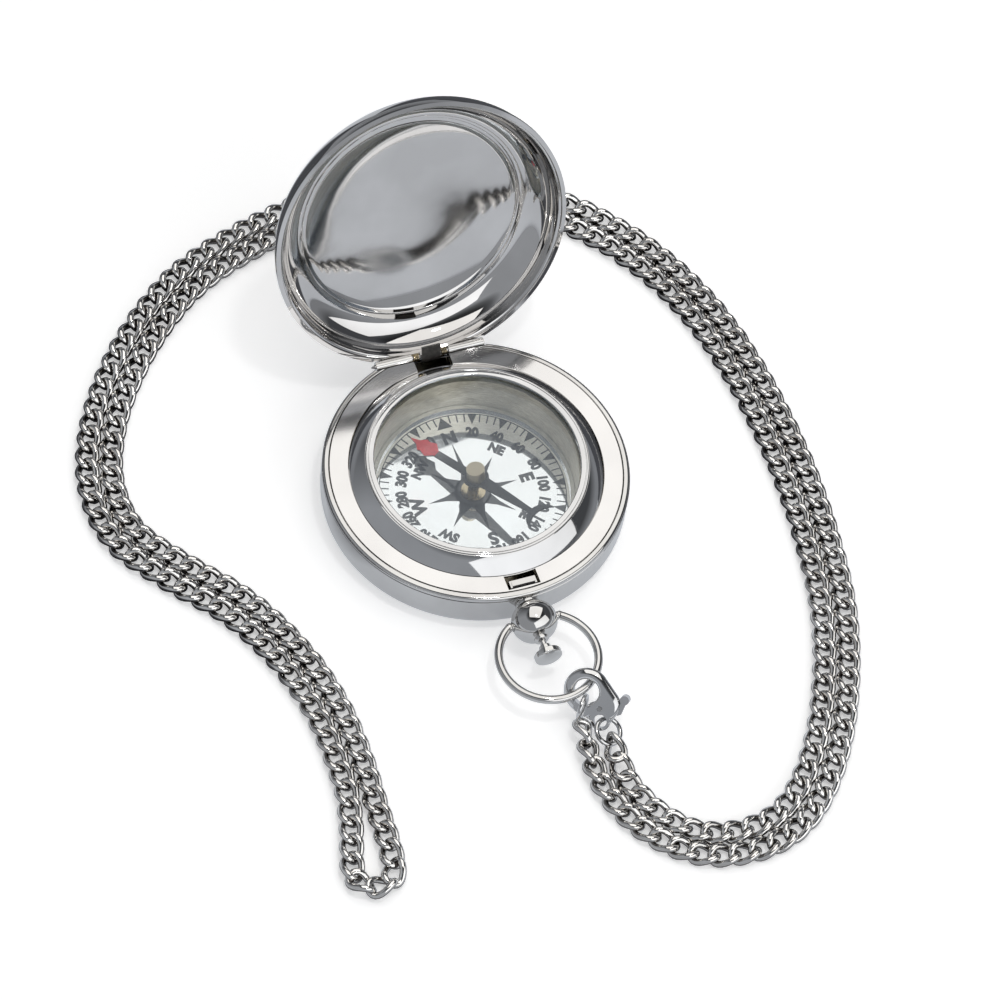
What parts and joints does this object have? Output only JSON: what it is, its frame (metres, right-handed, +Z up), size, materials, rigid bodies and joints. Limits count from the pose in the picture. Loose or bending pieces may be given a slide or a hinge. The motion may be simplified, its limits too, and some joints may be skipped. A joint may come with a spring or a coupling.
{
  "type": "compass pendant",
  "caption": "Open nickel-plated pocket compass pendant with a hinged lid, a turning needle, a push button, a bow, and a folded curb chain on a lobster clasp",
  "frame": {"origin": "centre of the case's flat underside, on the surface that the pendant lies on", "axes": "+Z up out of the case, which is the pendant's shortest extent; -Y towards the push button and the bow, +Y towards the lid's hinge; +X to the right with the button towards the viewer"},
  "size_m": [0.1176, 0.1426, 0.0539],
  "materials": {
    "polished_nickel": "polished",
    "ring_nickel": "polished",
    "bezel_nickel": "polished",
    "dial_ring_nickel": "polished",
    "brushed_cup": "brushed",
    "clasp_nickel": "polished",
    "chain_nickel": "polished",
    "brass": "polished",
    "black_steel": "satin",
    "pin_steel": "satin",
    "black_needle": "satin",
    "silver_dial": "polished",
    "crystal": "clear"
  },
  "bodies": {
    "root": {"case_body": "polished_nickel", "ring_plate": "ring_nickel", "bezel": "bezel_nickel", "glass": "crystal", "dial_cup": "brushed_cup", "dial_ring": "dial_ring_nickel", "dial": "silver_dial", "pivot_post": "brass", "hinge_pin": "pin_steel", "spring_coil_left": "brass", "spring_coil_right": "brass", "bow": "polished_nickel", "clasp_body": "clasp_nickel", "clasp_pin": "pin_steel", "jump_ring": "clasp_nickel", "end_ring": "clasp_nickel", "chain": "chain_nickel"},
    "lid_body": {"lid": "polished_nickel", "lid_spring": "black_steel"},
    "needle_body": {"needle": "black_needle", "needle_cap": "brass"},
    "button_body": {"latch": "polished_nickel", "push_button": "polished_nickel"},
    "lever_body": {"clasp_lever": "clasp_nickel"}
  },
  "joints": [
    {"name": "lid_hinge", "type": "hinge", "parent": "root", "child": "lid_body", "pos_m": [0, 0.02345, 0.0088], "axis": [1, 0, 0], "range_deg": [0, 110]},
    {"name": "needle_turn", "type": "hinge", "parent": "root", "child": "needle_body", "pos_m": [0, 0, 0.0062], "axis": [0, 0, 1], "continuous": true},
    {"name": "button_push", "type": "slide", "parent": "root", "child": "button_body", "axis": [0, 1, 0], "range_m": [0, 0.0008], "stiffness_N_per_m": 200},
    {"name": "clasp_open", "type": "hinge", "parent": "root", "child": "lever_body", "pos_m": [0.00522, -0.0457, 0.00478], "axis": [0.5012, 0.5498, -0.6683], "range_deg": [0, 10], "stiffness_Nm_per_rad": 0.002}
  ]
}
